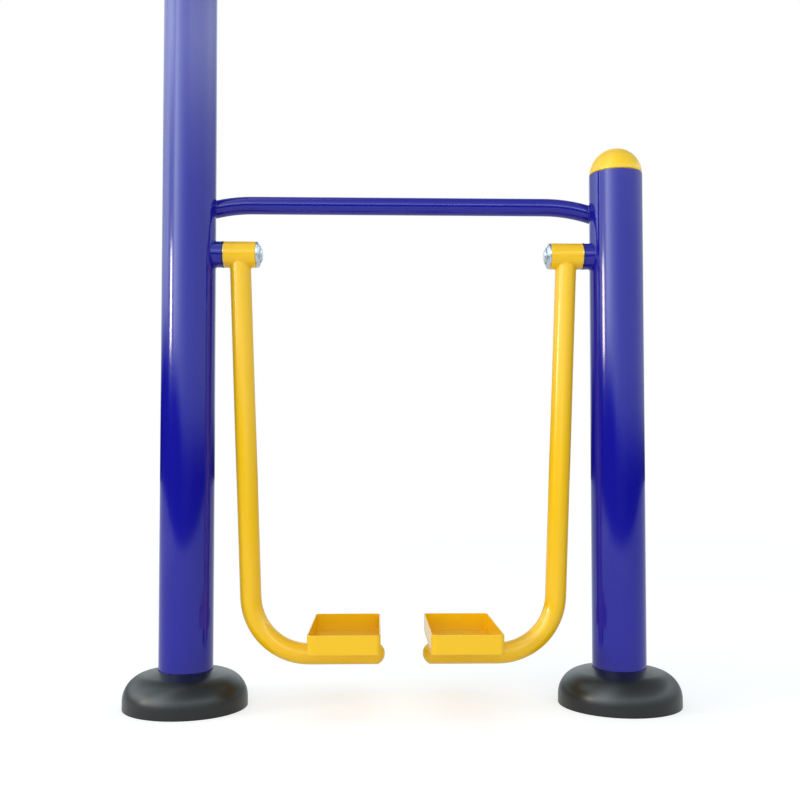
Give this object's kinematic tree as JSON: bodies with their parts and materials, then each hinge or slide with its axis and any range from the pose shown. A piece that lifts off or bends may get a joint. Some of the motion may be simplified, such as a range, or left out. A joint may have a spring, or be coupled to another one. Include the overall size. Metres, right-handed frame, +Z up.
{
  "type": "outdoor air walker",
  "caption": "Park air walker: a tall and a short blue post joined by a handrail, with yellow arms and foot trays that swing from pivots on the posts.",
  "frame": {"origin": "on the ground midway between the post axes, at the centre of the base plates' undersides", "axes": "+X from the tall left post to the short right post, +Y away from the viewer, +Z up"},
  "size_m": [1.182, 0.298, 1.638],
  "materials": {
    "blue_paint": "gloss powder coat on steel",
    "yellow_paint": "gloss powder coat on steel",
    "yellow_plastic": "moulded, gloss",
    "black_plastic": "moulded, semi-matte",
    "zinc_plate": "bright zinc plate",
    "bright_steel": "turned and hardened",
    "bronze": "oil-impregnated sintered bronze"
  },
  "bodies": {
    "frame": {"left_post": "blue_paint", "left_post_cap": "yellow_plastic", "left_base_flange": "blue_paint", "left_base_gussets": "blue_paint", "left_base_cover": "black_plastic", "left_pivot_boss": "blue_paint", "left_bearing_sleeve": "bright_steel", "left_stop_key": "bright_steel", "left_retaining_washer": "zinc_plate", "left_pivot_bolt": "zinc_plate", "right_post": "blue_paint", "right_post_cap": "yellow_plastic", "right_base_flange": "blue_paint", "right_base_gussets": "blue_paint", "right_base_cover": "black_plastic", "right_pivot_boss": "blue_paint", "right_bearing_sleeve": "bright_steel", "right_stop_key": "bright_steel", "right_retaining_washer": "zinc_plate", "right_pivot_bolt": "zinc_plate", "handrail": "blue_paint"},
    "left_arm": {"left_hub": "yellow_paint", "left_post_side_bush": "bronze", "left_bolt_side_bush": "bronze", "left_stop_ring": "bright_steel", "left_arm_tube": "yellow_paint", "left_arm_end": "yellow_paint", "left_foot_tray": "yellow_paint"},
    "right_arm": {"right_hub": "yellow_paint", "right_post_side_bush": "bronze", "right_bolt_side_bush": "bronze", "right_stop_ring": "bright_steel", "right_arm_tube": "yellow_paint", "right_arm_end": "yellow_paint", "right_foot_tray": "yellow_paint"}
  },
  "joints": [
    {"name": "left_arm_swing", "type": "hinge", "parent": "frame", "child": "left_arm", "pos_m": [-0.352, 0, 0.961], "axis": [1, 0, 0], "range_deg": [-45, 45]},
    {"name": "right_arm_swing", "type": "hinge", "parent": "frame", "child": "right_arm", "pos_m": [0.352, 0, 0.961], "axis": [1, 0, 0], "range_deg": [-45, 45]}
  ]
}
